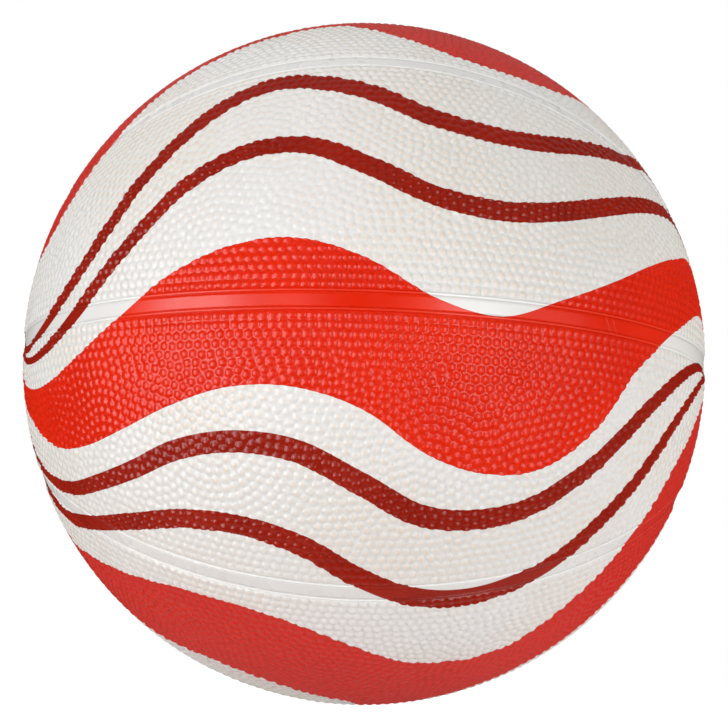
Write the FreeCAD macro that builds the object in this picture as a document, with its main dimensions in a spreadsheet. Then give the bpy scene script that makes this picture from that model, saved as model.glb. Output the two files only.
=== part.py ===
import FreeCAD, Part
import os

# A hollow moulded-rubber playground ball, inflated through a needle valve.
# The origin is the centre of the ball. The valve is on the +Z pole, -Y is the front.
# The cover is eight pebbled panels between smooth bands: one band lies in the XY plane, one
# in the XZ plane, and two are loops round the +Z and -Z poles, where elliptic cylinders
# about Z cut the sphere. Under the cover are a rubber carcass, a nylon thread winding and a
# butyl bladder, and the valve hangs from the bladder.

DIMENSIONS = (
    ("ball_diameter", 216.0, "ball over the tops of the pebbles"),
    ("cover_thickness", 1.3, "cover panel with its pebbles"),
    ("band_step", 0.55, "from the pebble tops down to the bands"),
    ("band_width", 5.9, "all bands"),
    ("loop_half_length", 100.5, "loop band's centre line, along X"),
    ("loop_half_width", 76.0, "loop band's centre line, along Y"),
    ("carcass_thickness", 0.7, "moulded rubber carcass"),
    ("winding_thickness", 0.3, "nylon thread winding"),
    ("bladder_thickness", 0.6, "butyl bladder"),
    ("pad_diameter", 12.0, "smooth round pad about the valve"),
    ("collar_diameter", 7.2, "valve body where it passes through the wall"),
    ("flange_diameter", 28.0, "valve body's flange, bonded inside the bladder"),
    ("flange_thickness", 1.0, "valve body's flange"),
    ("patch_diameter", 40.0, "patch that holds the flange to the bladder"),
    ("patch_thickness", 0.5, "patch under the flange"),
    ("stem_diameter", 10.0, "valve body's stem inside the ball"),
    ("stem_length", 16.0, "from the inside of the bladder to the stem's end"),
    ("core_recess", 0.3, "from the band's surface down to the core's head"),
    ("core_length", 14.0, "whole valve core"),
    ("core_head_diameter", 5.2, "head of the valve core"),
    ("core_head_height", 1.6, "head of the valve core"),
    ("core_shank_diameter", 3.6, "shank of the valve core"),
    ("core_barb_diameter", 4.8, "barb that locks the core in the valve body"),
    ("core_barb_height", 3.5, "barb, which tapers to the shank's diameter"),
    ("guide_diameter", 2.2, "needle guide, clear of a 2.0 mm inflating needle"),
    ("guide_length", 8.0, "needle guide, above the self-sealing slit"),
    ("outlet_diameter", 2.4, "air outlet at the end of the stem"),
    ("reach", 130.0, "half side of the cutting boxes, clear of the ball"),
)

doc = FreeCAD.newDocument("PlaygroundBall")
sheet = doc.addObject("Spreadsheet::Sheet", "Size")
for row, (alias, value, meaning) in enumerate(DIMENSIONS, start=1):
    sheet.set(f"A{row}", meaning)
    sheet.set(f"B{row}", str(value))
    sheet.setAlias(f"B{row}", alias)
doc.recompute()

# Radii of the layers, from the outside in, and heights on the valve's axis.
COVER_OUTSIDE = "Size.ball_diameter / 2"
BAND_OUTSIDE = f"({COVER_OUTSIDE} - Size.band_step)"
COVER_INSIDE = f"({COVER_OUTSIDE} - Size.cover_thickness)"
CARCASS_INSIDE = f"({COVER_INSIDE} - Size.carcass_thickness)"
WINDING_INSIDE = f"({CARCASS_INSIDE} - Size.winding_thickness)"
BLADDER_INSIDE = f"({WINDING_INSIDE} - Size.bladder_thickness)"
FLANGE_INSIDE = f"({BLADDER_INSIDE} - Size.flange_thickness)"
PATCH_INSIDE = f"({FLANGE_INSIDE} - Size.patch_thickness)"
CORE_TOP = f"({BAND_OUTSIDE} - Size.core_recess)"
CORE_END = f"({CORE_TOP} - Size.core_length)"
STEM_END = f"({BLADDER_INSIDE} - Size.stem_length)"
HALF_BAND = "Size.band_width / 2"


def primitive(kind, name, at=None, **sizes):
    """A Part primitive whose sizes, and place when given, are bound to the sheet."""
    item = doc.addObject(f"Part::{kind}", name)
    for size, expression in sizes.items():
        item.setExpression(size, expression)
    for axis, expression in (at or {}).items():
        item.setExpression(f"Placement.Base.{axis}", expression)
    return item


def boolean(kind, name, base, tool):
    """Base with the tool cut away, base and tool fused, or what they have in common."""
    item = doc.addObject(f"Part::{kind}", name)
    item.Base = base
    item.Tool = tool
    return item


def shell(name, outside, inside):
    """A hollow sphere about the origin."""
    outer = primitive("Sphere", f"{name}_outside", Radius=outside)
    inner = primitive("Sphere", f"{name}_inside", Radius=inside)
    return boolean("Cut", name, outer, inner)


def box(name, x, y, z):
    """A box from a pair of expressions along each axis, its low face and its high face."""
    sizes = {}
    place = {}
    for axis, size, (low, high) in (("x", "Length", x), ("y", "Width", y), ("z", "Height", z)):
        sizes[size] = f"({high}) - ({low})"
        place[axis] = low
    return primitive("Box", name, at=place, **sizes)


def column(name, diameter, low, high):
    """A cylinder on the valve's axis between two heights."""
    return primitive("Cylinder", name, at={"z": low}, Radius=f"{diameter} / 2",
                     Height=f"({high}) - ({low})")


def elliptic_column(name, side):
    """An upright elliptic cylinder through both loops, at one edge of their bands.

    The edge is half a band's width along the sphere from the centre line, so its semi-axes
    differ from the centre line's by that width times the slope of the sphere there.
    """
    ellipse = doc.addObject("Part::Ellipse", f"{name}_outline")
    for radius, middle in (("MajorRadius", "loop_half_length"), ("MinorRadius", "loop_half_width")):
        slope = f"sqrt(1 - (2 * Size.{middle} / Size.ball_diameter) ^ 2)"
        ellipse.setExpression(radius, f"Size.{middle} {side} {HALF_BAND} * {slope}")
    solid = doc.addObject("Part::Extrusion", name)
    solid.Base = ellipse
    solid.DirMode = "Custom"
    solid.Dir = FreeCAD.Vector(0, 0, 1)
    solid.Solid = True
    solid.setExpression("LengthFwd", "Size.reach")
    solid.setExpression("LengthRev", "Size.reach")
    return solid


WHOLE = ("-Size.reach", "Size.reach")
BAND = (f"-{HALF_BAND}", HALF_BAND)
ABOVE_BAND = (HALF_BAND, "Size.reach")
BELOW_BAND = ("-Size.reach", f"-{HALF_BAND}")

nodes = {}

# The cover and the bands share these shells and these cutting solids.
cover_shell = shell("cover_shell", COVER_OUTSIDE, COVER_INSIDE)
band_shell = shell("band_shell", BAND_OUTSIDE, COVER_INSIDE)
inside_loops = elliptic_column("inside_loops", "-")
within_loop_bands = elliptic_column("within_loop_bands", "+")
loop_wall = boolean("Cut", "loop_wall", within_loop_bands, inside_loops)
pad_column = column("pad_column", "Size.pad_diameter", "0", "Size.reach")
wall_opening = column("wall_opening", "Size.collar_diameter", "0", "Size.reach")

# Eight cover panels and four loop bands: one cap panel, one side panel and half a loop in
# each quarter of the ball that the two straight bands leave.
for level, z_range in (("top", ABOVE_BAND), ("bottom", BELOW_BAND)):
    for face, y_range in (("front", BELOW_BAND), ("back", ABOVE_BAND)):
        quarter = f"{level}_{face}"
        quarter_box = box(f"{quarter}_box", WHOLE, y_range, z_range)
        cover_quarter = boolean("Common", f"{quarter}_cover", cover_shell, quarter_box)
        cap = boolean("Common", f"{quarter}_cap", cover_quarter, inside_loops)
        if level == "top":
            cap = boolean("Cut", f"{quarter}_cap_at_pad", cap, pad_column)
        nodes[f"{quarter}_cap_panel"] = cap
        nodes[f"{quarter}_side_panel"] = boolean(
            "Cut", f"{quarter}_side", cover_quarter, within_loop_bands)
        band_quarter = boolean("Common", f"{quarter}_band_shell", band_shell, quarter_box)
        nodes[f"{quarter}_loop_band"] = boolean(
            "Common", f"{quarter}_loop", band_quarter, loop_wall)

# The centre band is one full ring, and the cross band meets it in two half rings. The top
# half widens into the round pad that the valve comes through.
centre_slab = box("centre_slab", WHOLE, WHOLE, BAND)
nodes["centre_band"] = boolean("Common", "centre_ring", band_shell, centre_slab)
top_slab = box("top_slab", WHOLE, BAND, ABOVE_BAND)
top_tool = boolean("Fuse", "top_slab_and_pad", top_slab, pad_column)
top_arch = boolean("Common", "top_arch", band_shell, top_tool)
nodes["top_cross_band"] = boolean("Cut", "top_arch_opened", top_arch, wall_opening)
bottom_slab = box("bottom_slab", WHOLE, BAND, BELOW_BAND)
nodes["bottom_cross_band"] = boolean("Common", "bottom_arch", band_shell, bottom_slab)

# The three layers under the cover, each with the same opening for the valve.
for layer, outside, inside in (
    ("carcass", COVER_INSIDE, CARCASS_INSIDE),
    ("thread_winding", CARCASS_INSIDE, WINDING_INSIDE),
    ("bladder", WINDING_INSIDE, BLADDER_INSIDE),
):
    closed = shell(f"{layer}_shell", outside, inside)
    nodes[layer] = boolean("Cut", f"{layer}_opened", closed, wall_opening)

# The valve core is a head, a shank and a tapered barb on one axis, with a blind guide for
# the needle. Below the guide the rubber is slit, and closes by itself.
barb_top = f"({CORE_END} + Size.core_barb_height)"
core_head = column("core_head", "Size.core_head_diameter",
                   f"{CORE_TOP} - Size.core_head_height", CORE_TOP)
core_shank = column("core_shank", "Size.core_shank_diameter", barb_top, CORE_TOP)
core_barb = primitive("Cone", "core_barb", at={"z": CORE_END},
                      Radius1="Size.core_shank_diameter / 2",
                      Radius2="Size.core_barb_diameter / 2",
                      Height="Size.core_barb_height")
headed_shank = boolean("Fuse", "headed_shank", core_head, core_shank)
core_outline = boolean("Fuse", "core_outline", headed_shank, core_barb)
needle_guide = column("needle_guide", "Size.guide_diameter",
                      f"{CORE_TOP} - Size.guide_length", CORE_TOP)
nodes["valve_core"] = boolean("Cut", "core_with_guide", core_outline, needle_guide)

# The valve body is a collar through the wall, a flange that follows the bladder and a stem,
# bored out to the core's shape and open at the end.
flange_shell = shell("flange_shell", BLADDER_INSIDE, FLANGE_INSIDE)
flange_column = column("flange_column", "Size.flange_diameter", "0", "Size.reach")
flange = boolean("Common", "flange", flange_shell, flange_column)
stem = column("stem", "Size.stem_diameter", STEM_END, f"{BLADDER_INSIDE} - Size.flange_thickness / 2")
collar_column = column("collar_column", "Size.collar_diameter", FLANGE_INSIDE, "Size.reach")
band_ball = primitive("Sphere", "band_ball", Radius=BAND_OUTSIDE)
collar = boolean("Common", "collar", collar_column, band_ball)
flanged_stem = boolean("Fuse", "flanged_stem", flange, stem)
solid_body = boolean("Fuse", "solid_body", flanged_stem, collar)
core_recess = column("core_recess_column", "Size.core_head_diameter", CORE_TOP, "Size.reach")
recessed_body = boolean("Cut", "recessed_body", solid_body, core_recess)
seated_body = boolean("Cut", "seated_body", recessed_body, core_outline)
outlet = column("outlet", "Size.outlet_diameter", f"{STEM_END} - 1", f"{CORE_END} + 1")
nodes["valve_body"] = boolean("Cut", "body_with_outlet", seated_body, outlet)

# The patch laps over the flange from inside and is bonded to the bladder round it.
patch_shell = shell("patch_shell", BLADDER_INSIDE, PATCH_INSIDE)
patch_column = column("patch_column", "Size.patch_diameter", "0", "Size.reach")
patch_blank = boolean("Common", "patch_blank", patch_shell, patch_column)
patch_over_flange = boolean("Cut", "patch_over_flange", patch_blank, flange)
stem_opening = column("stem_opening", "Size.stem_diameter", "0", "Size.reach")
nodes["valve_patch"] = boolean("Cut", "patch_opened", patch_over_flange, stem_opening)

doc.recompute()
for name, item in nodes.items():
    item.Label = name
for item in doc.Objects:
    if "Invalid" in item.State or "Error" in item.State:
        raise RuntimeError(f"{item.Label} failed: {item.State}")

os.makedirs("parts", exist_ok=True)
for name, item in nodes.items():
    shape = item.Shape
    if shape.isNull() or not shape.isValid() or len(shape.Solids) != 1:
        raise RuntimeError(f"{name} isn't one valid solid")
for name, item in nodes.items():
    item.Shape.exportStep(f"parts/{name}.step")
    bounds = item.Shape.BoundBox
    print(f"{name}: {item.Shape.Volume / 1000:.2f} cm3, z {bounds.ZMin:.2f} to {bounds.ZMax:.2f}")
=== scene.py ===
"""A playground rubber ball: pebbled cover panels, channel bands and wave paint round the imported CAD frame."""
import math

import bpy
import numpy as np
from mathutils import Matrix, Vector
from mathutils.geometry import delaunay_2d_cdt


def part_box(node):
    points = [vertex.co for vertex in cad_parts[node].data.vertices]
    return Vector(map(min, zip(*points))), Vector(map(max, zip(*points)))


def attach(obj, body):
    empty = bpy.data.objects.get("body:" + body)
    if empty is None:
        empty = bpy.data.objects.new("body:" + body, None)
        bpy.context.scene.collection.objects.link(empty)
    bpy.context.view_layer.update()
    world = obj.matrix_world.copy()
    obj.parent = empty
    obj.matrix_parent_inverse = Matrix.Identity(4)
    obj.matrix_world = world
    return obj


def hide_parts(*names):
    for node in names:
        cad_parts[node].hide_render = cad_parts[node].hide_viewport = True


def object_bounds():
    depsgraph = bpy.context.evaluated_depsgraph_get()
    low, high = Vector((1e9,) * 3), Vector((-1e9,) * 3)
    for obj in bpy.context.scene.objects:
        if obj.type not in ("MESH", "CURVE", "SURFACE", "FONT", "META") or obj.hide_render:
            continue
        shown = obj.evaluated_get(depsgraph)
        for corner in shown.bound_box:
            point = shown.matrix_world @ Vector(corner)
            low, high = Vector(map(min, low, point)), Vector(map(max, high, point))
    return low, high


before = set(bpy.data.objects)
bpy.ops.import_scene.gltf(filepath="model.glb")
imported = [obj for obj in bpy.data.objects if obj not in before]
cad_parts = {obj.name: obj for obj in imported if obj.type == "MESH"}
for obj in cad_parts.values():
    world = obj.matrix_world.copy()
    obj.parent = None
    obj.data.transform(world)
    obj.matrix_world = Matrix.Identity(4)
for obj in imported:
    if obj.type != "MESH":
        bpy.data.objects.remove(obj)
cad_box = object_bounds()

# Sizes, in metres. Directions are unit vectors from the ball's centre; longitude 0 is -Y, growing towards +X.
MM = 0.001
HALF_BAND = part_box("centre_band")[1].z
BALL = math.hypot(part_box("top_front_side_panel")[1].x, math.sqrt(2.0) * HALF_BAND)
BAND_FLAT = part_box("centre_band")[1].x
COVER_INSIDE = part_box("carcass")[1].x
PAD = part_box("top_cross_band")[1].y


def loop_axes(node):
    """Half length along X and half width along Y of a loop edge, from the piece that ends on it."""
    low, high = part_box(node)
    return high.x / math.sqrt(1.0 - (HALF_BAND / low.y) ** 2), -low.y


LOOP_INNER = loop_axes("top_front_cap_panel")
LOOP_OUTER = loop_axes("top_front_loop_band")

PITCH = 2.72 * MM              # from one pebble to the next along a row
ROW = 0.93 * PITCH             # from one row to the next
FIRST_ROW = 1.35 * MM          # from a panel's edge to its first row
EDGE_ROWS = 6                  # rows that follow a panel's edge before the whorls begin
PEBBLE_HEIGHT = 0.52 * MM
PEBBLE_RADIUS = 0.46 * PITCH
LEAST_GAP = 0.8 * PITCH        # nearest that two pebbles are laid
DART_GAP = 0.82 * PITCH        # nearest that a filling pebble is tried to the others
DARTS = 30000                  # tries at filling the gaps between rows and whorls
CROWDED = 1.09 * PITCH         # pebbles nearer than this push each other apart
WHORL_JITTER = 0.035           # how far a whorl's centre strays, as a share of the ball's radius
VALLEY = BALL - PEBBLE_HEIGHT
GROOVE = VALLEY - 0.25 * MM    # bottom of the fine groove between a panel and a band
SLOPE = 0.3 * MM               # width of the slope from the groove up to the panel
EDGE_STEP = 0.5 * MM           # spacing of the points on an edge when distances to it are taken
OUTLINE_STEP = 1.0 * MM        # spacing of the points on a panel's outline
VALLEY_CLEAR = 0.7 * MM        # valley points stand at least this far from the outline
FOOT_GAP = 0.2 * MM            # from a pebble's foot to its panel's edge
FAR = 9.0                      # half distance that stands for no neighbour


# ---------------------------------------------------------------- paint
# Paint edges: (longitude, latitude) in degrees. Most knots were copied from the printout of a scratch program
# that read the photo, others were read at places picked by eye, and those past the outline are guesses.
# Each curve repeats every half turn, which is a guess too.
CENTRE_RED_TOP = [(-75, -7.5), (-60, -9.2), (-50, -6.3), (-40, -1.5), (-30, 4.4), (-20, 8.2), (-10, 9),
                  (0, 6.1), (10, 0.8), (20, -1.1), (30, 2.4), (40, 6.5), (50, 10.8), (60, 14),
                  (75, 15.3), (90, 3)]
CENTRE_RED_LOW = [(-75, -12.5), (-60, -19.5), (-50, -19.8), (-40, -17.8), (-30, -14.8), (-20, -12.5),
                  (-10, -12.6), (0, -15.6), (10, -21.6), (20, -24), (30, -22.4), (35, -19.3),
                  (40, -14.2), (45, -7), (50, -2.8), (60, 3), (75, 6.5), (90, -3)]
UPPER_RED_LOW = [(-75, 13), (-65, 19.5), (-60, 28), (-55, 42), (-45, 53), (-30, 60.5), (-10, 63.5),
                 (0, 59.6), (10, 54.5), (20, 49.2), (30, 46.6), (45, 45), (60, 46), (75, 45), (90, 30)]
UPPER_RED_TOP = [(-75, 41), (-60, 58), (-45, 76), (-20, 85), (10, 87), (30, 81), (45, 76), (60, 75),
                 (75, 70), (90, 54)]
LOWER_RED_TOP = [(-82, -33), (-70, -37.5), (-60, -40.6), (-40, -45), (-20, -50.3), (0, -57.3),
                 (10, -60.1), (20, -61.3), (30, -60.6), (40, -58.6), (50, -51.7), (55, -42.7),
                 (60, -31.8), (65, -20), (70, -13.1), (80, -6)]
LOWER_RED_LOW = [(-85, -46.5), (-81, -51.5), (-76, -55), (-69, -58), (-60, -61), (-52, -65), (-41, -71),
                 (-33, -74.8), (-25, -77.7), (-12, -80.3), (10, -86), (50, -86.5), (68, -82), (75, -65),
                 (80, -35), (85, -24), (90, -41)]
# Middles of the four dark lines, from the top down, made the same way. After each line's knots come its mean
# width, its swing, the longitude where it is widest and the one where it is pinched.
DARK_LINES = [
    ([(-75, -1.8), (-65, -1.3), (-60, 0.5), (-50, 7.5), (-45, 13.4), (-40, 20.9), (-30, 32.9),
      (-20, 38.5), (-10, 38.5), (0, 36), (10, 31.4), (20, 29.1), (30, 28.8), (40, 30.1), (55, 31.4),
      (70, 31.9), (90, 11)],
     (3.0, 0.75, 5, -71)),
    ([(-70, -4.5), (-60, -3.8), (-50, 0.7), (-40, 9.2), (-30, 18.8), (-20, 24), (-10, 24.6), (0, 20.9),
      (10, 16.5), (20, 15), (30, 16.2), (40, 18.7), (50, 21.3), (60, 23), (70, 23), (90, 5.5)],
     (2.8, 0.6, 10, -71)),
    ([(-75, -21.5), (-60, -26.1), (-50, -25.7), (-40, -24.1), (-30, -21.4), (-20, -20.4), (-10, -21.8),
      (0, -26.4), (10, -30.9), (20, -31.2), (30, -28.3), (40, -21.1), (50, -11.6), (60, -5), (75, -2),
      (90, -9)],
     (2.75, 0.75, 2, 78)),
    ([(-77, -26.2), (-70, -30.1), (-60, -32), (-45, -32.4), (-30, -32.3), (-20, -33.6), (-10, -36.8),
      (0, -41.9), (10, -45.1), (20, -45.5), (30, -43.1), (40, -37.2), (50, -25.8), (60, -12.8),
      (70, -5.3), (80, -2.7)],
     (2.95, 0.65, 3, 78)),
]

PINCH, PINCH_REACH = 1.1, 15.0     # degrees: how much thinner a line gets there, and over what longitude


def curve_at(points, lon):
    """Latitude and slope, in degrees, of the smooth curve through points that repeats every half turn."""
    knot_lon, knot_lat = np.array(points, float).T
    lons = np.concatenate((knot_lon - 180, knot_lon, knot_lon + 180))
    lats = np.tile(knot_lat, 3)
    slopes = np.gradient(lats, lons)
    lon = (lon - knot_lon[0]) % 180 + knot_lon[0]
    i = np.searchsorted(lons, lon, side="right") - 1
    step = lons[i + 1] - lons[i]
    t = (lon - lons[i]) / step
    rise = lats[i + 1] - lats[i]
    m0, m1 = slopes[i] * step, slopes[i + 1] * step
    value = lats[i] + m0 * t + (3 * rise - 2 * m0 - m1) * t**2 + (m0 + m1 - 2 * rise) * t**3
    slope = (m0 + 2 * (3 * rise - 2 * m0 - m1) * t + 3 * (m0 + m1 - 2 * rise) * t**2) / step
    return value, slope


def above(points, lon, lat):
    """Signed distance in millimetres from a paint edge, positive above it."""
    value, slope = curve_at(points, lon)
    lean = slope / np.maximum(np.cos(np.radians(lat)), 0.05)
    return np.radians(lat - value) * BALL / MM / np.sqrt(1 + lean**2)


def paint_fields(directions):
    """Distances in millimetres, positive inside red and inside dark red, then 1 where the red is a cap's, which
    marks where shade and sheen are painted.
    """
    lon = np.degrees(np.arctan2(directions[:, 0], -directions[:, 1]))
    lat = np.degrees(np.arcsin(np.clip(directions[:, 2], -1, 1)))
    centre = np.minimum(-above(CENTRE_RED_TOP, lon, lat), above(CENTRE_RED_LOW, lon, lat))
    upper = np.minimum(above(UPPER_RED_LOW, lon, lat), -above(UPPER_RED_TOP, lon, lat))
    lower = np.minimum(-above(LOWER_RED_TOP, lon, lat), above(LOWER_RED_LOW, lon, lat))
    dark = np.full(len(directions), -99.0)
    for points, (mean, swing, widest, pinched) in DARK_LINES:
        from_pinch = (lon - pinched + 90) % 180 - 90
        swell = swing * np.cos(np.radians(2 * (lon - widest)))
        width = mean + swell - PINCH * np.exp(-(from_pinch / PINCH_REACH) ** 2)
        half = np.radians(width) / 2 * BALL / MM
        dark = np.maximum(dark, half - np.abs(above(points, lon, lat)))
    caps = np.maximum(upper, lower)
    return np.maximum(centre, caps), dark, (caps > centre).astype(float)


# ---------------------------------------------------------------- meshes
def unit(vectors):
    return vectors / np.linalg.norm(vectors, axis=1, keepdims=True)


def make_object(name, vertices, faces, sharp_pairs):
    """A mesh object from arrays of faces with equal sides, smooth but for its sharp edges."""
    mesh = bpy.data.meshes.new(name)
    corners = np.concatenate([f.ravel() for f in faces])
    sides = np.concatenate([np.full(len(f), f.shape[1]) for f in faces])
    mesh.vertices.add(len(vertices))
    mesh.loops.add(len(corners))
    mesh.polygons.add(len(sides))
    mesh.vertices.foreach_set("co", vertices.astype(np.float32).ravel())
    mesh.loops.foreach_set("vertex_index", corners.astype(np.int32))
    mesh.polygons.foreach_set("loop_start", (np.cumsum(sides) - sides).astype(np.int32))
    mesh.update(calc_edges=True)
    mesh.validate()
    mesh.shade_smooth()
    ends = np.empty(len(mesh.edges) * 2, np.int32)
    mesh.edges.foreach_get("vertices", ends)
    keys = edge_keys(ends.reshape(-1, 2), len(vertices))
    sharp = np.isin(keys, edge_keys(sharp_pairs, len(vertices)))
    mesh.attributes.new("sharp_edge", "BOOLEAN", "EDGE").data.foreach_set("value", sharp)
    obj = bpy.data.objects.new(name, mesh)
    bpy.context.scene.collection.objects.link(obj)
    return obj


def edge_keys(pairs, count):
    pairs = np.sort(np.asarray(pairs, np.int64), axis=1)
    return pairs[:, 0] * count + pairs[:, 1]


def add_field(obj, name, values):
    obj.data.attributes.new(name, "FLOAT", "POINT").data.foreach_set("value", values.astype(np.float32))


def add_paint(obj, directions, relief):
    red, dark, cap = paint_fields(directions)
    add_field(obj, "paint_red", red)
    add_field(obj, "cap_shade_mask", cap)
    add_field(obj, "paint_dark", dark)
    add_field(obj, "relief", relief)


def finish_piece(obj, node, material):
    obj.data.materials.append(material)
    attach(obj, "root")
    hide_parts(node)


# ---------------------------------------------------------------- panel edges, front half above the centre
def resample(path, spacing, phase=None):
    """Points along a path at about that spacing; with no phase, both of the path's ends are kept."""
    steps = np.linalg.norm(np.diff(path, axis=0), axis=1) * BALL
    along = np.concatenate(([0.0], np.cumsum(steps)))
    if phase is None:
        at = np.linspace(0, along[-1], max(2, round(along[-1] / spacing) + 1))
    else:
        at = np.arange(phase * spacing, along[-1], spacing)
    return unit(np.column_stack([np.interp(at, along, path[:, k]) for k in range(3)]))


def loop_edge(axes, count=1500):
    """Front half of a loop's edge, from +X to -X."""
    start = math.asin(HALF_BAND / axes[1])
    turn = np.linspace(start, math.pi - start, count)
    x, y = axes[0] * np.cos(turn), -axes[1] * np.sin(turn)
    return np.column_stack((x, y, np.sqrt(BALL**2 - x**2 - y**2))) / BALL


def centre_edge(count=1500):
    """The centre band's upper edge, from -X to +X."""
    reach = math.sqrt(BALL**2 - HALF_BAND**2)
    turn = np.linspace(-1, 1, count) * math.acos(HALF_BAND / reach)
    flat = np.full(count, HALF_BAND)
    return np.column_stack((reach * np.sin(turn), -reach * np.cos(turn), flat)) / BALL


def cross_edge(start_z, end_z, side, count=400):
    """The cross band's front edge on one side of the ball, from one height to another."""
    reach = math.sqrt(BALL**2 - HALF_BAND**2)
    turn = np.linspace(math.asin(start_z / reach), math.asin(end_z / reach), count)
    flat = np.full(count, -HALF_BAND)
    return np.column_stack((side * reach * np.cos(turn), flat, reach * np.sin(turn))) / BALL


def pad_edge(count=200):
    """The front of the valve pad's rim, from +X to -X."""
    start = math.asin(HALF_BAND / PAD)
    turn = np.linspace(start, math.pi - start, count)
    x, y = PAD * np.cos(turn), -PAD * np.sin(turn)
    return np.column_stack((x, y, np.full(count, math.sqrt(BALL**2 - PAD**2)))) / BALL


def side_edges():
    """Edges of a side panel, anticlockwise from outside."""
    loop = loop_edge(LOOP_OUTER)
    top = loop[0, 2] * BALL
    return [centre_edge(), cross_edge(HALF_BAND, top, 1), loop, cross_edge(top, HALF_BAND, -1)]


def cap_edges(has_pad):
    """Edges of a cap panel, anticlockwise from outside."""
    loop = loop_edge(LOOP_INNER)[::-1]
    foot = loop[0, 2] * BALL
    if not has_pad:
        pole = math.sqrt(BALL**2 - HALF_BAND**2)
        return [loop, np.concatenate((cross_edge(foot, pole, 1), cross_edge(pole, foot, -1)[1:]))]
    rim = math.sqrt(BALL**2 - PAD**2)
    return [loop, cross_edge(foot, rim, 1), pad_edge(), cross_edge(rim, foot, -1)]


def inside_side(points):
    x, y, z = points.T * BALL
    outside_loop = (x / LOOP_OUTER[0]) ** 2 + (y / LOOP_OUTER[1]) ** 2 > 1
    return (z > HALF_BAND) & (y < -HALF_BAND) & outside_loop


def inside_cap(points):
    x, y, z = points.T * BALL
    inside_loop = (x / LOOP_INNER[0]) ** 2 + (y / LOOP_INNER[1]) ** 2 < 1
    return (z > 0) & (y < -HALF_BAND) & inside_loop


def inward(path):
    """Unit directions across a path, towards the panel."""
    return unit(np.cross(path, np.gradient(path, axis=0)))


def offset_path(path, distance):
    angle = distance / BALL
    return math.cos(angle) * path + math.sin(angle) * inward(path)


def outline_of(edges, spacing):
    """The closed outline and the same points moved in by the width of the edge's slope."""
    rim, inner = [], []
    for edge in edges:
        part = resample(edge, spacing)[:-1]
        rim.append(part)
        inner.append(offset_path(part, SLOPE)[1:])
    return np.concatenate(rim), np.concatenate(inner)


# ---------------------------------------------------------------- pebbles
def distances(points, targets):
    """Distance in metres over the ball from each point to the nearest target, and which target that is."""
    best = np.empty(len(points))
    which = np.empty(len(points), int)
    for start in range(0, len(points), 2000):
        dots = points[start:start + 2000] @ targets.T
        which[start:start + 2000] = dots.argmax(axis=1)
        best[start:start + 2000] = dots.max(axis=1)
    return np.arccos(np.clip(best, -1, 1)) * BALL, which


def tangents(points):
    """Two directions across the ball at each point."""
    side = unit(np.cross(np.array([0.3, 0.2, 0.93]), points))
    return side, np.cross(points, side)


def step_from(points, angle, distance):
    """Points at a bearing and distance over the ball; angle and distance have a row for each point."""
    side, up = tangents(points)
    heading = np.cos(angle)[..., None] * side[:, None] + np.sin(angle)[..., None] * up[:, None]
    arc = distance[..., None] / BALL
    return np.cos(arc) * points[:, None] + np.sin(arc) * heading


def edge_row_candidates(edges, inside, rng):
    """Rows that follow each edge, kept where that edge is the nearest one. Outer rows come first."""
    found = []
    phases = rng.random(len(edges))
    for row in range(EDGE_ROWS):
        depth = FIRST_ROW + row * ROW
        if row > 1:
            phases = phases + rng.choice((0.06, 0.5), len(edges), p=(0.35, 0.65))
        for own, edge in enumerate(edges):
            points = resample(offset_path(edge, depth), PITCH, phases[own] % 1.0)
            points = points[inside(points)]
            gaps = np.array([distances(points, resample(e, EDGE_STEP))[0] for e in edges])
            keep = (gaps[own] <= gaps.min(axis=0) + 0.1 * MM) & (gaps.min(axis=0) > 0.9 * FIRST_ROW)
            found.append(points[keep])
    return found


def whorl_candidates(edges, inside, centres, rng):
    """Rings round each whorl's centre, kept where that whorl is nearest, inside the rows along the edges."""
    rim = np.concatenate([resample(e, EDGE_STEP) for e in edges])
    found = []
    for own, centre in enumerate(centres):
        rings = [centre[None]]
        for ring in range(1, 16):
            radius = ring * ROW
            count = max(5, round(2 * math.pi * radius / PITCH))
            angle = rng.random() * 6.3 + np.arange(count) / count * 2 * math.pi
            rings.append(step_from(centre[None], angle[None], np.full((1, count), radius))[0])
        points = np.concatenate(rings)
        points = points[inside(points)]
        near = distances(points, centres)[1] == own
        deep = distances(points, rim)[0] > FIRST_ROW + (EDGE_ROWS - 0.4) * ROW
        found.append(points[near & deep])
    return found


def spread(candidates, least):
    """The candidates that stand clear of every one kept before them."""
    points = np.concatenate(candidates)
    limit = math.cos(least / BALL)
    kept = np.empty_like(points)
    count = 0
    for point in points:
        if count == 0 or (kept[:count] @ point).max() < limit:
            kept[count] = point
            count += 1
    return kept[:count]


def triangulate(chart_points, outline_count=0):
    """Triangles over points in the chart, inside the outline made by the first ones if there is one."""
    outline = [list(range(outline_count))] if outline_count else []
    vertices = [Vector(p) for p in chart_points]
    made = delaunay_2d_cdt(vertices, [], outline, 1 if outline_count else 0, 1e-9, True)
    origin = np.array([ids[0] for ids in made[3]])
    return origin[np.array(made[2])]


def pairs_of(triangles):
    pairs = np.concatenate((triangles[:, :2], triangles[:, 1:], triangles[:, ::2]))
    return np.unique(np.sort(pairs, axis=1), axis=0)


def relax(points, free, chart, rounds=40):
    """Pushes crowded pebbles apart, leaving the rows next to the edges where they are."""
    for turn in range(rounds):
        if turn % 8 == 0:
            pairs = pairs_of(triangulate(chart.flatten(points)))
        a, b = pairs.T
        gap = points[a] - points[b]
        length = np.linalg.norm(gap, axis=1)
        push = np.clip(CROWDED / BALL - length, 0, None) * 0.25
        move = gap / length[:, None] * push[:, None]
        shift = np.zeros_like(points)
        np.add.at(shift, a, move)
        np.add.at(shift, b, -move)
        points = unit(points + shift * free[:, None])
    return points


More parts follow.
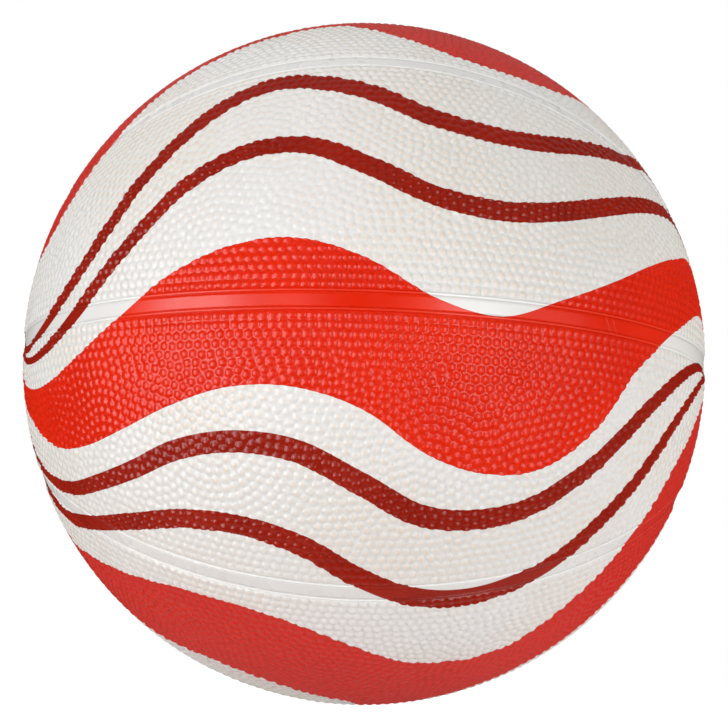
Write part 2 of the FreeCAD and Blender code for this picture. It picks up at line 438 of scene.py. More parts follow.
class Chart:
    """A flat, angle-keeping map of the ball round one direction."""

    def __init__(self, middle):
        self.out = np.array(middle, float) / np.linalg.norm(middle)
        self.right = np.cross((0.0, 1.0, 0.0) if abs(self.out[2]) > 0.9 else (0.0, 0.0, 1.0), self.out)
        self.right /= np.linalg.norm(self.right)
        self.up = np.cross(self.out, self.right)

    def flatten(self, points):
        scale = 2 / (1 + points @ self.out)
        return np.column_stack((points @ self.right * scale, points @ self.up * scale))

    def lift(self, flat):
        quarter = (flat**2).sum(axis=1, keepdims=True) / 4
        across = flat[:, :1] * self.right + flat[:, 1:] * self.up
        return (across + (1 - quarter) * self.out) / (1 + quarter)


def lay_pebbles(edges, inside, chart, whorls, rng):
    """Centres of a panel's pebbles."""
    centres = whorls + WHORL_JITTER * rng.standard_normal(whorls.shape)
    rows = edge_row_candidates(edges, inside, rng)
    rings = whorl_candidates(edges, inside, unit(centres), rng)
    points = spread(rows + rings, LEAST_GAP)
    rim = np.concatenate([resample(e, EDGE_STEP) for e in edges])
    flat_rim = chart.flatten(rim)
    low, high = flat_rim.min(axis=0), flat_rim.max(axis=0)
    darts = chart.lift(low + rng.random((DARTS, 2)) * (high - low))
    darts = darts[inside(darts)]
    darts = darts[distances(darts, rim)[0] > 0.9 * FIRST_ROW]
    darts = darts[distances(darts, points)[0] > DART_GAP]
    points = spread([points, darts], LEAST_GAP)
    depth = distances(points, rim)[0]
    points = relax(points, (depth > FIRST_ROW + 1.6 * ROW).astype(float), chart)
    clear = distances(points, rim)[0] > 0.8 * FIRST_ROW
    return points[inside(points) & clear]


def neighbours(points, chart, edges):
    """Bearing and half distance to each pebble's neighbours and the panel's edges, padded with far ones."""
    pairs = pairs_of(triangulate(chart.flatten(points)))
    pairs = np.concatenate((pairs, pairs[:, ::-1]))
    gap = points[pairs[:, 1]] - points[pairs[:, 0]]
    length = np.linalg.norm(gap, axis=1) * BALL
    near = length < 2 * PITCH
    owner, gap, half = [pairs[near, 0]], [gap[near]], [length[near] / 2]
    for edge in edges:
        rim = resample(edge, EDGE_STEP)
        depth, which = distances(points, rim)
        close = np.flatnonzero(depth < 1.2 * PITCH)
        owner.append(close)
        gap.append(rim[which[close]] - points[close])
        half.append(depth[close] - FOOT_GAP)
    owner, gap, half = np.concatenate(owner), np.concatenate(gap), np.concatenate(half)
    order = np.argsort(owner, kind="stable")
    owner, gap, half = owner[order], gap[order], half[order]
    side, up = tangents(points)
    bearing = np.arctan2((gap * up[owner]).sum(axis=1), (gap * side[owner]).sum(axis=1))
    rank = np.arange(len(owner)) - np.searchsorted(owner, owner)
    bearings = np.zeros((len(points), rank.max() + 1))
    halves = np.full(bearings.shape, FAR)
    bearings[owner, rank] = bearing
    halves[owner, rank] = half
    return bearings, halves


def foot_reach(angles, bearings, halves):
    """How far a pebble's foot reaches at each angle: round, but clear of its neighbours' side of the cell."""
    facing = np.cos(angles[:, :, None] - bearings[:, None, :])
    cell = (halves[:, None, :] / np.maximum(facing, 0.05)).min(axis=2)
    return np.minimum(PEBBLE_RADIUS, 0.9 * cell)


def valley_points(points, chart):
    """The point between each three pebbles, where three cells meet."""
    flat = chart.flatten(points)
    triangles = triangulate(flat)
    a, b, c = (points[triangles[:, k]] for k in range(3))
    normal = np.cross(b - a, c - a)
    normal *= np.sign((normal * a).sum(axis=1))[:, None]
    middle = unit(normal)
    reach = np.arccos(np.clip((middle * a).sum(axis=1), -1, 1)) * BALL
    middle = middle[(reach < 1.1 * PITCH) & (reach > PEBBLE_RADIUS + 0.1 * MM)]
    return spread([middle], 0.3 * MM)


RINGS = [(0.42, 0.91), (0.77, 0.62), (1.0, 0.0)]     # share of the foot, share of the height
RING_POINTS = 9


def pebble_surface(points, chart, edges, rng):
    """Directions, relief and radii of all vertices on a panel's pebbles."""
    bearings, halves = neighbours(points, chart, edges)
    height = PEBBLE_HEIGHT * (0.86 + 0.14 * rng.random(len(points)))
    turn = rng.random((len(points), 1))
    directions, relief, radii = [points], [np.ones(len(points))], [VALLEY + height]
    for ring, (share, level) in enumerate(RINGS):
        angles = (turn + ring / 2 + np.arange(RING_POINTS)) / RING_POINTS * 2 * math.pi
        reach = foot_reach(angles, bearings, halves) * share
        directions.append(step_from(points, angles, reach).reshape(-1, 3))
        relief.append(np.full(len(points) * RING_POINTS, level))
        radii.append(VALLEY + np.repeat(height * level, RING_POINTS))
    return np.concatenate(directions), np.concatenate(relief), np.concatenate(radii)


def make_panel(name, edges, inside, middle, whorls, mirror, seed, material):
    """One pebbled cover panel as a closed solid, built at the top front and mirrored into place."""
    rng = np.random.default_rng(seed)
    chart = Chart(middle)
    points = lay_pebbles(edges, inside, chart, whorls, rng)
    rim, slope_foot = outline_of(edges, OUTLINE_STEP)
    pebbles, relief, radii = pebble_surface(points, chart, edges, rng)
    valleys = valley_points(points, chart)
    valleys = valleys[inside(valleys)]
    valleys = valleys[distances(valleys, rim)[0] > VALLEY_CLEAR]
    flats = np.concatenate((slope_foot, valleys))
    top = np.concatenate((rim, flats, pebbles))
    top_radii = np.concatenate((np.full(len(rim), GROOVE), np.full(len(flats), VALLEY), radii))
    top_relief = np.concatenate((np.zeros(len(rim) + len(flats)), relief))
    top_faces = triangulate(chart.flatten(top), len(rim))
    base = np.concatenate((rim, points[::4]))
    base_faces = triangulate(chart.flatten(base), len(rim))[:, ::-1] + len(top)
    here = np.arange(len(rim))
    after = np.roll(here, -1)
    walls = np.column_stack((after, here, here + len(top), after + len(top)))
    directions = np.concatenate((top, base)) * mirror
    faces = [top_faces, base_faces, walls]
    if np.prod(mirror) < 0:
        faces = [f[:, ::-1] for f in faces]
    lengths = np.concatenate((top_radii, np.full(len(base), COVER_INSIDE)))
    rim_pairs = np.column_stack((here, after))
    sharp = np.concatenate((rim_pairs, rim_pairs + len(top)))
    obj = make_object(name, directions * lengths[:, None], faces, sharp)
    add_paint(obj, directions, np.concatenate((top_relief, np.zeros(len(base)))))
    map_panel(obj, chart.flatten(np.concatenate((top, base))), len(top_faces), len(base_faces))
    finish_piece(obj, name, material)


def map_panel(obj, flat, top_count, base_count):
    """The panel's own map: the pebbles over most of the square, the inside and the walls in a strip above."""
    flat = (flat - flat.min(axis=0)) / (flat.max(axis=0) - flat.min(axis=0)).max()
    corner_vertex = np.empty(len(obj.data.loops), np.int32)
    obj.data.loops.foreach_get("vertex_index", corner_vertex)
    place = flat[corner_vertex] * 0.96 + 0.02
    top_corners, base_corners = top_count * 3, base_count * 3
    room = 1.0 - place[:top_corners, 1].max()
    inside = flat[corner_vertex] * room * 0.7 + (0.02, 1.0 - room * 0.85)
    place[top_corners:] = inside[top_corners:]
    wall = np.arange(len(place) - top_corners - base_corners)
    step = 0.25 / len(wall)
    along = (wall // 4) * 4 * step + np.isin(wall % 4, (0, 3)) * 3 * step
    place[top_corners + base_corners:, 0] = 0.74 + along
    place[top_corners + base_corners:, 1] = 1.0 - room * np.where(np.isin(wall % 4, (0, 1)), 0.2, 0.3)
    obj.data.uv_layers.new(name="OFBake").data.foreach_set("uv", place.astype(np.float32).ravel())


# Middles of the whorls: (longitude, latitude) in degrees.
SIDE_WHORLS = [(-66, 17), (-44, 23), (-20, 19), (6, 24), (27, 15), (49, 22), (70, 16)]
CAP_WHORLS = [(-66, 45), (-42, 56), (-12, 62), (20, 55), (44, 58), (70, 42), (60, 74), (-50, 76)]


def sphere_points(places):
    lon, lat = np.radians(np.array(places, float)).T
    return np.column_stack((np.sin(lon) * np.cos(lat), -np.cos(lon) * np.cos(lat), np.sin(lat)))


def make_panels(material):
    seed = 11
    for level, up in (("top", 1), ("bottom", -1)):
        for half, back in (("front", 1), ("back", -1)):
            mirror = np.array([1.0, back, up])
            caps, sides = cap_edges(level == "top"), side_edges()
            has_pad = level == "top"
            clear_pad = PAD if has_pad else 0.0

            def inside(points, clear_pad=clear_pad):
                return inside_cap(points) & (np.hypot(points[:, 0], points[:, 1]) * BALL > clear_pad)

            make_panel(f"{level}_{half}_side_panel", sides, inside_side, (0, -0.94, 0.34),
                       sphere_points(SIDE_WHORLS), mirror, seed, material)
            make_panel(f"{level}_{half}_cap_panel", caps, inside, (0, -0.42, 0.91),
                       sphere_points(CAP_WHORLS), mirror, seed + 1, material)
            seed += 2


# ---------------------------------------------------------------- bands
# Across a band: share of the half width, and height over its flat. A fine rib runs along each edge.
RIB_TOP = 0.16 * MM
HALF_PROFILE = [(1.0, GROOVE - BAND_FLAT), (0.97, GROOVE - BAND_FLAT), (0.945, 0.75 * RIB_TOP),
                (0.92, RIB_TOP), (0.80, RIB_TOP), (0.77, 0.5 * RIB_TOP), (0.745, -0.22 * MM),
                (0.71, -0.22 * MM), (0.67, 0.0)]
FLAT_STEPS = (0.45, 0.15)
ACROSS = np.array([-s for s, h in HALF_PROFILE] + [-s for s in FLAT_STEPS] + [s for s in FLAT_STEPS[::-1]]
                  + [s for s, h in HALF_PROFILE[::-1]])
RISE = np.array([h for s, h in HALF_PROFILE] + [0.0] * (2 * len(FLAT_STEPS))
                + [h for s, h in HALF_PROFILE[::-1]])


def grid_faces(columns, rows, closed):
    """Quads over a grid whose columns run along the band and whose rows run across it."""
    last = columns if closed else columns - 1
    a = np.arange(last)[:, None] * rows + np.arange(rows - 1)[None]
    b = (np.arange(last)[:, None] + 1) % columns * rows + np.arange(rows - 1)[None]
    return np.column_stack((a.ravel(), b.ravel(), b.ravel() + 1, a.ravel() + 1))


def make_shell(name, directions, heights, faces, mirror, material):
    """A closed solid from its outer surface down to the carcass."""
    count = len(directions)
    edges = np.concatenate([np.column_stack((f[:, k], f[:, (k + 1) % f.shape[1]]))
                            for f in faces for k in range(f.shape[1])])
    forward, backward = edges[:, 0] * count + edges[:, 1], edges[:, 1] * count + edges[:, 0]
    border = edges[~np.isin(forward, backward)]
    walls = np.column_stack((border[:, 1], border[:, 0], border[:, 0] + count, border[:, 1] + count))
    everything = faces + [f[:, ::-1] + count for f in faces] + [walls]
    if np.prod(mirror) < 0:
        everything = [f[:, ::-1] for f in everything]
    both = np.concatenate((directions, directions)) * mirror
    lengths = np.concatenate((BAND_FLAT + heights, np.full(count, COVER_INSIDE)))
    sharp = np.concatenate((border, border + count))
    obj = make_object(name, both * lengths[:, None], everything, sharp)
    # Marks for the paint: 1 on the ribs' crests, where a highlight is painted, 0 in the grooves, where shade is
    # painted, 0.5 elsewhere.
    marks = np.select([heights > 0.65 * RIB_TOP, heights < -0.15 * MM], [1.0, 0.0], 0.5)
    add_paint(obj, both, np.concatenate((marks, np.full(count, 0.5))))
    finish_piece(obj, name, material)


def across_between(low_edge, high_edge):
    """Directions across a band at each place along it, between its two edges."""
    share = (ACROSS + 1) / 2
    low, high = low_edge[:, None], high_edge[:, None]
    angle = np.arccos(np.clip((low * high).sum(axis=2, keepdims=True), -1, 1))
    mixed = np.sin((1 - share)[None, :, None] * angle) * low + np.sin(share[None, :, None] * angle) * high
    return mixed / np.sin(angle)


def make_loop_bands(material):
    outer = resample(loop_edge(LOOP_OUTER), 1.2 * MM)
    inner = loop_edge(LOOP_INNER, len(outer))
    outer = loop_edge(LOOP_OUTER, len(outer))
    directions = across_between(inner, outer)[:, ::-1].reshape(-1, 3)
    faces = grid_faces(len(outer), len(ACROSS), False)[:, ::-1]
    heights = np.tile(RISE, len(outer))
    for level, up in (("top", 1), ("bottom", -1)):
        for half, back in (("front", 1), ("back", -1)):
            make_shell(f"{level}_{half}_loop_band", directions, heights, [faces],
                       np.array([1.0, back, up]), material)


def make_centre_band(material):
    """The full ring, with two fine slanted lips for the lines in the photo that were read as a splice."""
    splice = math.radians(38.9)
    second = splice + 2.6 * MM / BALL
    lip = 0.22 * MM / BALL
    overlap_height, lip_height = 0.04 * MM, 0.12 * MM
    steepest, slant_reach = 0.46, math.radians(9)
    column_gap = 0.4 * MM / BALL
    near = np.array([k + s * lip for k in (splice, second) for s in (-2, -1, 0, 1, 2)])
    even = np.linspace(-math.pi, math.pi, 570, endpoint=False)
    even = even[np.abs(even[:, None] - near[None]).min(axis=1) > column_gap]
    lon = np.sort(np.concatenate((even, near)))
    lat = np.arcsin(ACROSS * HALF_BAND / BALL)
    slant = steepest * np.exp(-((lon - splice) / slant_reach) ** 2)
    turned = lon[:, None] - slant[:, None] * lat[None]
    directions = np.stack((np.sin(turned) * np.cos(lat), -np.cos(turned) * np.cos(lat),
                           np.broadcast_to(np.sin(lat), turned.shape)), axis=2).reshape(-1, 3)
    lips = np.minimum(np.abs(lon - splice), np.abs(lon - second)) < 0.5 * lip
    overlap = (lon > splice - 0.5 * lip) & (lon < second + 0.5 * lip)
    heights = (RISE[None] + overlap_height * overlap[:, None] + lip_height * lips[:, None]).ravel()
    faces = grid_faces(len(lon), len(lat), True)
    make_shell("centre_band", directions, heights, [faces], np.ones(3), material)


def cross_grid(end_reach, count):
    """One side of a cross band, from the centre band up to where |x| is end_reach at each place across."""
    side = np.arcsin(ACROSS * HALF_BAND / BALL)
    start = np.arcsin(HALF_BAND / BALL / np.cos(side))
    end = np.arccos(end_reach / BALL / np.cos(side))
    rise = start[None] + np.linspace(0, 1, count)[:, None] * (end - start)[None]
    return np.stack((np.cos(side) * np.cos(rise), np.broadcast_to(np.sin(side), rise.shape),
                     np.cos(side) * np.sin(rise)), axis=2)


def make_bottom_cross_band(material):
    side = cross_grid(np.zeros(len(ACROSS)), 140)
    whole = np.concatenate((side, side[-2::-1] * (-1, 1, 1)))
    faces = grid_faces(len(whole), len(ACROSS), False)[:, ::-1]
    heights = np.tile(RISE, len(whole))
    make_shell("bottom_cross_band", whole.reshape(-1, 3), heights, [faces],
               np.array([1.0, 1.0, -1.0]), material)


PAD_RINGS = [(5.75, -0.05), (5.5, 0.16), (5.15, 0.16), (4.9, -0.08), (4.7, 0.0), (4.2, 0.03), (3.85, 0.0),
             (3.6, -0.12)]     # radius and height over the band's flat, in millimetres


def make_top_cross_band(material):
    """Two strips that run into the round valve pad, which has a rim bead and the valve's hole."""
    rows = len(ACROSS)
    y = ACROSS * HALF_BAND
    right = cross_grid(np.sqrt(PAD**2 - y**2), 136)
    left = right * (-1, 1, 1)
    strip_faces = grid_faces(len(right), rows, False)
    directions = [right.reshape(-1, 3), left.reshape(-1, 3)]
    faces = [strip_faces[:, ::-1], strip_faces + right.shape[0] * rows]
    bearing = np.arcsin(y / PAD)
    gap = np.linspace(bearing[-1], math.pi - bearing[-1], 26)[1:-1]
    around = np.concatenate((bearing, gap, math.pi - bearing[::-1], gap + math.pi))
    first_rim = len(right) * rows * 2
    end = (len(right) - 1) * rows
    gap_count = len(gap)
    gap_one = first_rim + np.arange(gap_count)
    gap_two = gap_one + gap_count
    right_end = end + np.arange(rows)
    left_end = len(right) * rows + right_end
    rim = np.concatenate((right_end, gap_one, left_end[::-1], gap_two))
    tilt = math.sqrt(1 - (PAD / BALL) ** 2)
    free = np.concatenate((gap, gap + math.pi))
    directions.append(np.column_stack((np.cos(free) * PAD / BALL, np.sin(free) * PAD / BALL,
                                       np.full(len(free), tilt))))
    heights = [np.tile(RISE, 2 * len(right)), np.full(len(free), RISE[0])]
    previous = rim
    start = first_rim + len(free)
    for radius, height in PAD_RINGS:
        share = radius * MM / BALL
        directions.append(np.column_stack((np.cos(around) * share, np.sin(around) * share,
                                           np.full(len(around), math.sqrt(1 - share**2)))))
        heights.append(np.full(len(around), height * MM))
        ring = start + np.arange(len(around))
        faces.append(np.column_stack((previous, np.roll(previous, -1), np.roll(ring, -1), ring)))
        previous = ring
        start += len(around)
    make_shell("top_cross_band", np.concatenate(directions), np.concatenate(heights), faces,
               np.ones(3), material)


# ---------------------------------------------------------------- materials
class Surface:
    """A material under construction, with short ways to add and join its nodes."""

    def __init__(self, name):
        self.material = bpy.data.materials.new(name)
        self.material.use_nodes = True
        self.tree = self.material.node_tree
        self.shader = self.tree.nodes["Principled BSDF"]
        self.place = self.node("ShaderNodeTexCoord").outputs["Object"]

    def node(self, kind, **settings):
        made = self.tree.nodes.new(kind)
        for name, value in settings.items():
            setattr(made, name, value)
        return made

    def put(self, socket, value):
        if isinstance(value, bpy.types.NodeSocket):
            self.tree.links.new(value, socket)
        else:
            socket.default_value = value

    def field(self, name):
        return self.node("ShaderNodeAttribute", attribute_name=name).outputs["Fac"]

    def math(self, operation, *values):
        made = self.node("ShaderNodeMath", operation=operation)
        for socket, value in zip(made.inputs, values):
            self.put(socket, value)
        return made.outputs[0]

    def noise(self, per_metre, detail=2.0, roughness=0.5, stretch=(1, 1, 1)):
        mapping = self.node("ShaderNodeMapping")
        self.put(mapping.inputs["Vector"], self.place)
        mapping.inputs["Scale"].default_value = stretch
        made = self.node("ShaderNodeTexNoise")
        self.put(made.inputs["Vector"], mapping.outputs[0])
        made.inputs["Scale"].default_value = per_metre
        made.inputs["Detail"].default_value = detail
        made.inputs["Roughness"].default_value = roughness
        return made.outputs["Fac"]

    def span(self, value, low, high, new_low=0.0, new_high=1.0):
        made = self.node("ShaderNodeMapRange")
        ends = (("From Min", low), ("From Max", high), ("To Min", new_low), ("To Max", new_high))
        for name, number in ends:
            made.inputs[name].default_value = number
        self.put(made.inputs["Value"], value)
        return made.outputs["Result"]

    def mix(self, factor, first, second):
        made = self.node("ShaderNodeMix", data_type="RGBA")
        self.put(made.inputs[0], factor)
        for socket, value in ((made.inputs[6], first), (made.inputs[7], second)):
            self.put(socket, value if isinstance(value, bpy.types.NodeSocket) else (*value, 1.0))
        return made.outputs[2]

    def bump(self, height, strength, distance, below=None):
        made = self.node("ShaderNodeBump")
        made.inputs["Strength"].default_value = strength
        made.inputs["Distance"].default_value = distance
        self.put(made.inputs["Height"], height)
        if below is not None:
            self.put(made.inputs["Normal"], below)
        return made.outputs["Normal"]

    def set(self, **inputs):
        for name, value in inputs.items():
            self.put(self.shader.inputs[name.replace("_", " ")], value)


WHITE = (0.80, 0.79, 0.77)
WARM_WHITE = (0.785, 0.755, 0.715)
PEACH = (0.76, 0.615, 0.48)
BAND_RED = (0.80, 0.023, 0.002)
# The bands' whites are a little greyer than the panels': painted shade on the recessed band flats.
BAND_SHADED_WHITE = (0.765, 0.755, 0.735)
BAND_SHADED_WARM = (0.755, 0.725, 0.69)
RIB_HIGHLIGHT_WHITE = (0.93, 0.925, 0.91)
RIB_HIGHLIGHT_RED = (0.83, 0.05, 0.022)
GROOVE_SHADE_GREY = (0.70, 0.68, 0.65)
RED = (0.765, 0.021, 0.002)
DEEP_RED = (0.70, 0.016, 0.0015)
CAP_SHADE_AND_SHEEN_RED = (0.565, 0.031, 0.023)
RED_RIM_AND_GROOVE_SHADE = (0.38, 0.008, 0.002)
DARK_RED = (0.31, 0.012, 0.003)
DEEP_DARK_RED = (0.26, 0.009, 0.002)


def painted(name, roughness, scallop, white, warm_white, red_ink, worn, rib):
    """Gloss enamel on moulded rubber: white ground with red and dark red printed on it, with painted highlights
    on the ribs, painted shade in the grooves and painted shade and sheen on the caps' red.
    """
    s = Surface(name)
    relief = s.field("relief")
    ragged = s.math("MULTIPLY_ADD", s.noise(900, 2.0), 0.08, -0.04)
    edge = s.math("ADD", ragged, s.math("MULTIPLY_ADD", relief, scallop, -0.5 * scallop))
    red_depth = s.math("ADD", s.field("paint_red"), edge)
    red = s.span(red_depth, -0.035, 0.035)
    dark = s.span(s.math("ADD", s.field("paint_dark"), edge), -0.035, 0.035)
    clouds = s.noise(14, 3.0)
    ground = s.mix(s.span(clouds, 0.35, 0.7), white, warm_white)
    patches = s.span(s.noise(24, 2.0, 0.6), 0.36, 0.58)
    tops = s.math("MULTIPLY", s.span(relief, 0.45, 0.9), s.noise(420, 1.0))
    wear = s.math("MULTIPLY", s.math("MULTIPLY", patches, tops), worn)
    ground = s.mix(wear, ground, PEACH)
    # Painted shade: the white turns grey and the red darker in the fine grooves beside the ribs.
    groove_shade = s.math("MULTIPLY", s.span(relief, 0.1, 0.4, 1.0, 0.0), rib)
    # Painted highlight: the white is lighter on the ribs' crests, as if they caught the light.
    ground = s.mix(s.math("MULTIPLY", s.span(relief, 0.55, 0.9), rib), ground, RIB_HIGHLIGHT_WHITE)
    ground = s.mix(groove_shade, ground, GROOVE_SHADE_GREY)
    ink = s.mix(s.span(s.noise(30, 3.0), 0.35, 0.65), red_ink, DEEP_RED)
    # Painted shade and sheen: the caps' red, at the top and bottom of the ball, is darker and pinker, as less
    # light falls there and the gloss shows more.
    ink = s.mix(s.span(s.field("cap_shade_mask"), 0.0, 1.0, 0.0, 0.8), ink, CAP_SHADE_AND_SHEEN_RED)
    ink = s.mix(s.span(red_depth, 0.06, 0.22, 0.6, 0.0), ink, RED_RIM_AND_GROOVE_SHADE)
    # Painted shade: the red also darkens in the grooves, in the same colour as its darker rim.
    ink = s.mix(s.math("MULTIPLY", groove_shade, 0.35), ink, RED_RIM_AND_GROOVE_SHADE)
    # Painted highlight: the red is lighter on the ribs' crests.
    ink = s.mix(s.math("MULTIPLY", s.span(relief, 0.55, 0.9), rib), ink, RIB_HIGHLIGHT_RED)
    colour = s.mix(red, ground, ink)
    colour = s.mix(dark, colour, s.mix(s.span(s.noise(50, 3.0), 0.35, 0.65), DARK_RED, DEEP_DARK_RED))
    fine = s.bump(s.noise(2600, 2.0), 0.25, 0.00002)
    normal = s.bump(s.noise(330, 2.0), 0.15, 0.00005, fine)
    rough = s.span(s.noise(180, 3.0), 0.3, 0.7, roughness - 0.03, roughness + 0.06)
    s.set(Base_Color=colour, Roughness=rough, Normal=normal, IOR=1.5, Specular_IOR_Level=0.4)
    return s.material


def rubber(name, colour, other, roughness, grain):
    """Plain moulded rubber with a mottled tone and a fine grain."""
    s = Surface(name)
    tone = s.mix(s.span(s.noise(45, 4.0), 0.35, 0.65), colour, other)
    rough = s.span(s.noise(120, 3.0), 0.3, 0.7, roughness - 0.06, roughness + 0.08)
    s.set(Base_Color=tone, Roughness=rough, Normal=s.bump(s.noise(grain, 3.0), 0.4, 0.00008), IOR=1.5)
    return s.material


def thread(name):
    """Nylon thread wound over itself in every direction, bonded with latex."""
    s = Surface(name)
    height = None
    for turn in ((0, 0, 0), (60, 20, 10), (-50, 70, 30)):
        mapping = s.node("ShaderNodeMapping")
        s.put(mapping.inputs["Vector"], s.place)
        mapping.inputs["Rotation"].default_value = [math.radians(a) for a in turn]
        wave = s.node("ShaderNodeTexWave", wave_type="BANDS", bands_direction="Z")
        s.put(wave.inputs["Vector"], mapping.outputs[0])
        wave.inputs["Scale"].default_value = 130
        wave.inputs["Distortion"].default_value = 1.2
        layer = wave.outputs["Fac"]
        height = layer if height is None else s.math("MAXIMUM", height, layer)
    # The strands are darker where they lie low and lighter on their crests.
    tone = s.mix(height, (0.42, 0.36, 0.27), (0.78, 0.72, 0.6))
    s.set(Base_Color=tone, Roughness=s.span(height, 0, 1, 0.7, 0.5), Normal=s.bump(height, 0.6, 0.0002))
    return s.material


def dress_inner_pieces():
    """Finishes for the CAD nodes that stay as they are."""
    finishes = {
        "carcass": ("carcass_rubber",
                    rubber("carcass_black", (0.012, 0.012, 0.013), (0.03, 0.028, 0.027), 0.62, 700)),
        "thread_winding": ("nylon_thread", thread("thread")),
        "bladder": ("butyl",
                    rubber("butyl_black", (0.016, 0.016, 0.018), (0.035, 0.034, 0.034), 0.5, 420)),
        "valve_patch": ("patch_rubber",
                        rubber("patch_grey", (0.05, 0.045, 0.042), (0.08, 0.072, 0.066), 0.66, 900)),
        "valve_body": ("valve_rubber",
                       rubber("valve_black", (0.02, 0.02, 0.021), (0.045, 0.043, 0.042), 0.42, 1200)),
        "valve_core": ("core_rubber",
                       rubber("core_grey", (0.09, 0.085, 0.08), (0.13, 0.122, 0.115), 0.38, 1500)),
    }
    for node, (slot, material) in finishes.items():
        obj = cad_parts[node]
        obj.data.materials.clear()
        obj.data.materials.append(material)


# ---------------------------------------------------------------- stage
def make_floor():
    """A plain pale floor that glows to the camera alone and stays out of the ball's gloss."""
    ground = cad_box[0].z
    vertices = [(x, y, ground) for x, y in ((-4.0, -4.0), (4.0, -4.0), (4.0, 4.0), (-4.0, 4.0))]
    mesh = bpy.data.meshes.new("floor")
    mesh.from_pydata(vertices, [], [(0, 1, 2, 3)])
    floor = bpy.data.objects.new("floor", mesh)
    bpy.context.scene.collection.objects.link(floor)
    s = Surface("floor_paper")
    s.set(Base_Color=s.mix(s.noise(3, 2.0), (0.6, 0.6, 0.6), (0.62, 0.62, 0.62)), Roughness=0.9,
          Emission_Color=(1.0, 1.0, 1.0, 1.0))
    seen = s.node("ShaderNodeLightPath").outputs["Is Camera Ray"]
    s.put(s.shader.inputs["Emission Strength"], s.math("MULTIPLY", seen, 0.9))
    floor.data.materials.append(s.material)
    floor.visible_glossy = False
    floor.visible_shadow = False


LIGHT_DISTANCE = 1.5
FILL = 0.365
# Name, azimuth, elevation, half width, half height (degrees), share of the width over which it fades out at
# each side, radiance, and whether the gloss mirrors it. Azimuth 0 is the camera's side, growing towards +X.
# On the left and on the right a wide box overlaps with brighter and narrower ones.
LIGHTS = [
    ("left_wide", -46, -7, 40, 23, 0.25, 1.3, True),
    ("left_middle", -56, -7, 26, 23, 0.3, 0.9, True),
    ("left_strip", -54, -7, 18, 22, 0.3, 2.9, True),
    ("right_wide", 42, -7, 39, 23, 0.25, 0.8, True),
    ("right_middle", 42, -7, 29, 23, 0.3, 1.5, True),
    ("right_strip", 33, -7, 15, 22, 0.3, 3.1, True),
    ("left_fill", -105, -15, 25, 25, 0.1, 0.8, False),
    ("right_fill", 105, -15, 25, 25, 0.1, 2.5, False),
    ("above_front", 0, 58, 18, 9, 0.1, 3.0, False),
    ("below_front", 0, -58, 30, 15, 0.1, 2.0, False),
    ("ceiling", 180, 70, 50, 35, 0.1, 0.25, True),
    ("table", 180, -70, 50, 35, 0.1, 0.3, True),
]


def fade(light, share):
    """Lets the light's glow fade out towards its left and right edges."""
    light.use_nodes = True
    nodes, links = light.node_tree.nodes, light.node_tree.links
    place = nodes.new("ShaderNodeNewGeometry")
    split = nodes.new("ShaderNodeSeparateXYZ")
    links.new(place.outputs["Parametric"], split.inputs[0])
    inward_way = nodes.new("ShaderNodeMath")
    inward_way.operation = "PINGPONG"
    inward_way.inputs[1].default_value = 0.5
    links.new(split.outputs["X"], inward_way.inputs[0])
    glow = nodes.new("ShaderNodeMapRange")
    glow.interpolation_type = "SMOOTHSTEP"
    glow.inputs["From Max"].default_value = share
    links.new(inward_way.outputs[0], glow.inputs["Value"])
    links.new(glow.outputs["Result"], nodes["Emission"].inputs["Strength"])


def softbox(name, azimuth, elevation, half_width, half_height, share, radiance, mirrored):
    """An area light that faces the ball."""
    width = 2 * LIGHT_DISTANCE * math.tan(math.radians(half_width))
    height = 2 * LIGHT_DISTANCE * math.tan(math.radians(half_height))
    light = bpy.data.lights.new(name, "AREA")
    light.shape = "RECTANGLE"
    light.size, light.size_y = width, height
    light.energy = radiance * math.pi * width * height
    fade(light, share)
    obj = bpy.data.objects.new(name, light)
    a, e = math.radians(azimuth), math.radians(elevation)
    out = Vector((math.sin(a) * math.cos(e), -math.cos(a) * math.cos(e), math.sin(e)))
    obj.location = out * LIGHT_DISTANCE
    obj.rotation_mode = "QUATERNION"
    obj.rotation_quaternion = out.to_track_quat("Z", "Y")
    obj.visible_camera = False
    obj.visible_glossy = mirrored
    bpy.context.scene.collection.objects.link(obj)


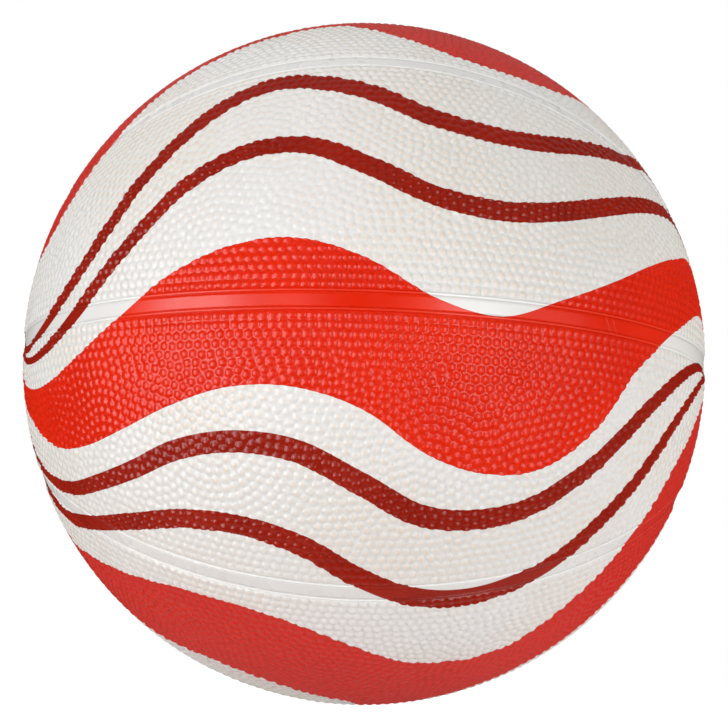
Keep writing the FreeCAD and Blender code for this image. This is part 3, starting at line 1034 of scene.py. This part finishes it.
def make_world():
    """White to the camera, nearly black in the ball's gloss, an even fill for the rest."""
    world = bpy.data.worlds.new("studio")
    world.use_nodes = True
    nodes, links = world.node_tree.nodes, world.node_tree.links
    path = nodes.new("ShaderNodeLightPath")
    shader = nodes["Background"].outputs[0]
    nodes["Background"].inputs["Color"].default_value = (1, 1, 1, 1)
    nodes["Background"].inputs["Strength"].default_value = FILL
    for ray, strength in (("Is Glossy Ray", 0.02), ("Is Camera Ray", 1.0)):
        other = nodes.new("ShaderNodeBackground")
        other.inputs["Color"].default_value = (1, 1, 1, 1)
        other.inputs["Strength"].default_value = strength
        mix = nodes.new("ShaderNodeMixShader")
        links.new(path.outputs[ray], mix.inputs[0])
        links.new(shader, mix.inputs[1])
        links.new(other.outputs[0], mix.inputs[2])
        shader = mix.outputs[0]
    links.new(shader, nodes["World Output"].inputs["Surface"])
    world.cycles.sampling_method = "NONE"
    bpy.context.scene.world = world


def make_camera():
    """Just under the middle of the ball, a little tilted, with the ball across most of the picture."""
    distance = 5.64 * BALL
    below = math.radians(9.143)
    tilt = math.radians(1.915)
    picture_share = 0.938
    sensor = 36.0
    camera = bpy.data.cameras.new("camera")
    camera.sensor_width = sensor
    camera.lens = sensor / 2 * picture_share / math.tan(math.asin(BALL / distance))
    camera.clip_start, camera.clip_end = 0.01, 20.0
    obj = bpy.data.objects.new("camera", camera)
    back = Vector((0.0, -math.cos(below), -math.sin(below)))
    level_right = Vector((1.0, 0.0, 0.0))
    level_up = back.cross(level_right)
    right = math.cos(tilt) * level_right + math.sin(tilt) * level_up
    up = back.cross(right)
    turn = Matrix((right, up, back)).transposed()
    obj.matrix_world = Matrix.Translation(back * distance) @ turn.to_4x4()
    bpy.context.scene.collection.objects.link(obj)
    bpy.context.scene.camera = obj


bpy.context.scene.view_settings.view_transform = "Standard"
make_camera()
make_world()
for settings in LIGHTS:
    softbox(*settings)
make_floor()
panel_paint = painted("cover_paint", 0.19, 0.05, WHITE, WARM_WHITE, RED, 0.95, 0.0)
band_paint = painted("band_paint", 0.27, 0.0, BAND_SHADED_WHITE, BAND_SHADED_WARM, RED, 0.0, 1.0)
centre_paint = painted("centre_paint", 0.17, 0.0, WHITE, WARM_WHITE, BAND_RED, 0.0, 0.6)
make_panels(panel_paint)
make_centre_band(centre_paint)
make_loop_bands(band_paint)
make_bottom_cross_band(band_paint)
make_top_cross_band(band_paint)
dress_inner_pieces()
